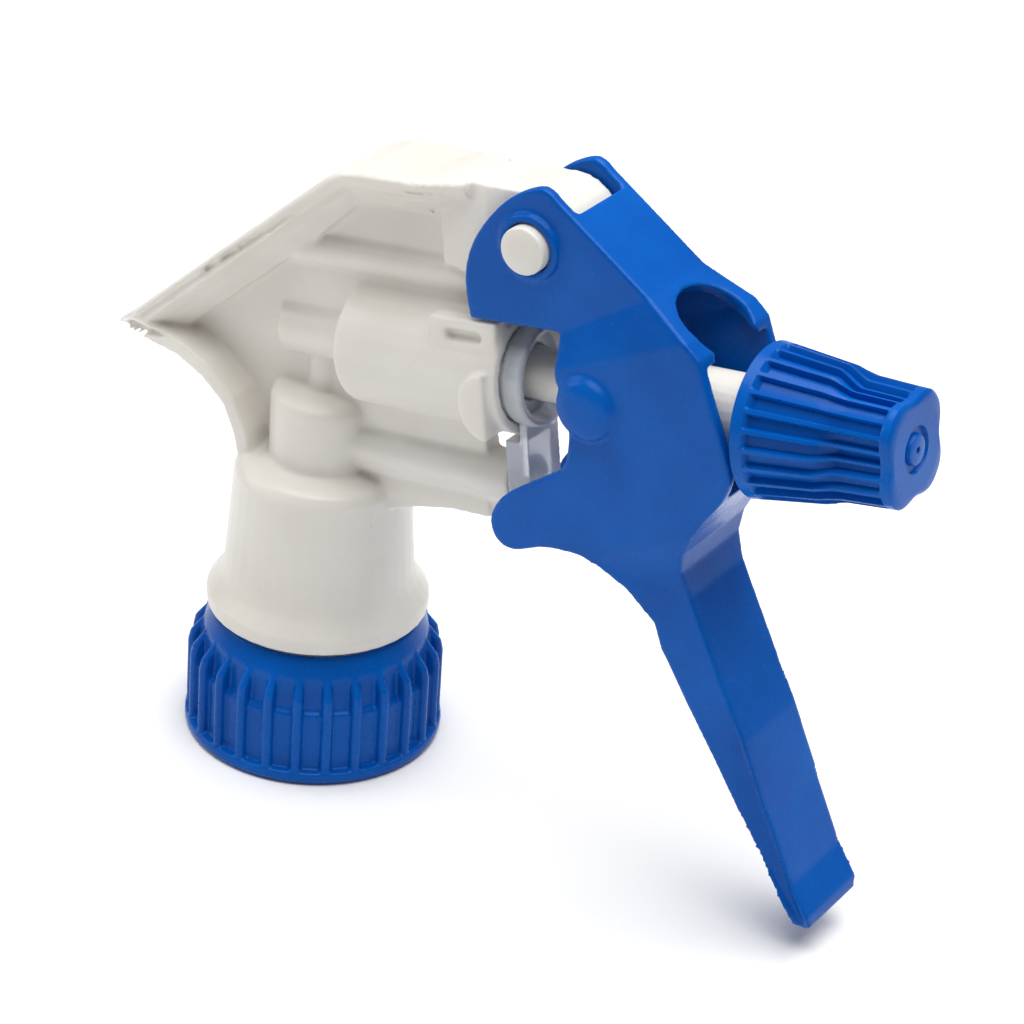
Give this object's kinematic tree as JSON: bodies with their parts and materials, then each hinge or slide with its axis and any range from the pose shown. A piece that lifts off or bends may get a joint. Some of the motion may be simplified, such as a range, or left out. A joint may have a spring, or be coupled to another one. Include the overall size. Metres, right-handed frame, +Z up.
{
  "type": "spray bottle",
  "caption": "Trigger sprayer head for a screw-neck bottle: squeezing the lever pumps liquid through a turning nozzle.",
  "frame": {"origin": "centre of the closure nut's bottom face, on the bottle neck's axis", "axes": "+X the way the spray leaves, +Y to the side away from the viewer, +Z up the neck axis"},
  "size_m": [0.1146, 0.0344, 0.0898],
  "materials": {
    "white_pp": "satin moulded polypropylene",
    "blue_pp": "gloss moulded polypropylene",
    "natural_pe": "milky natural polyethylene",
    "steel": "bright drawn wire and ball",
    "rubber": "matt pale elastomer"
  },
  "bodies": {
    "head": {"head_body": "white_pp", "pivot_pin": "white_pp", "front_gland": "natural_pe", "rod_wiper": "rubber", "vent_plug": "rubber", "valve_housing": "natural_pe", "housing_seal": "rubber", "inlet_cage": "natural_pe", "neck_gasket": "rubber", "return_spring": "steel"},
    "closure": {"closure_nut": "blue_pp"},
    "trigger": {"trigger": "blue_pp"},
    "plunger": {"plunger_rod": "white_pp", "piston_cup": "rubber", "outlet_spring": "steel", "swirl_insert": "natural_pe"},
    "nozzle": {"nozzle": "blue_pp", "nozzle_gasket": "rubber"},
    "inlet_ball": {"inlet_ball": "steel"},
    "outlet_ball": {"outlet_ball": "steel"}
  },
  "joints": [
    {"name": "trigger_pivot", "type": "hinge", "parent": "head", "child": "trigger", "pos_m": [0.03287, 0, 0.08215], "axis": [0, 1, 0], "range_deg": [0, 18], "stiffness_Nm_per_rad": 0.3, "springref_deg": -5.73},
    {"name": "plunger_slide", "type": "slide", "parent": "head", "child": "plunger", "axis": [-0.9893, 0, -0.1459], "range_m": [0, 0.00652], "deforming": ["return_spring"]},
    {"name": "nozzle_turn", "type": "hinge", "parent": "plunger", "child": "nozzle", "pos_m": [0.07263, 0, 0.0684], "axis": [0.9893, 0, 0.1459], "range_deg": [0, 270]},
    {"name": "closure_spin", "type": "hinge", "parent": "head", "child": "closure", "pos_m": [0, 0, 0], "axis": [0, 0, 1], "continuous": true},
    {"name": "inlet_ball_lift", "type": "slide", "parent": "head", "child": "inlet_ball", "axis": [0, 0, 1], "range_m": [0, 0.0025]},
    {"name": "outlet_ball_lift", "type": "slide", "parent": "plunger", "child": "outlet_ball", "axis": [0.9893, 0, 0.1459], "range_m": [0, 0.001], "deforming": ["outlet_spring"]}
  ],
  "couplings": [
    {"joint": "plunger_slide", "follows": "trigger_pivot", "m_per_rad": 0.020761}
  ]
}
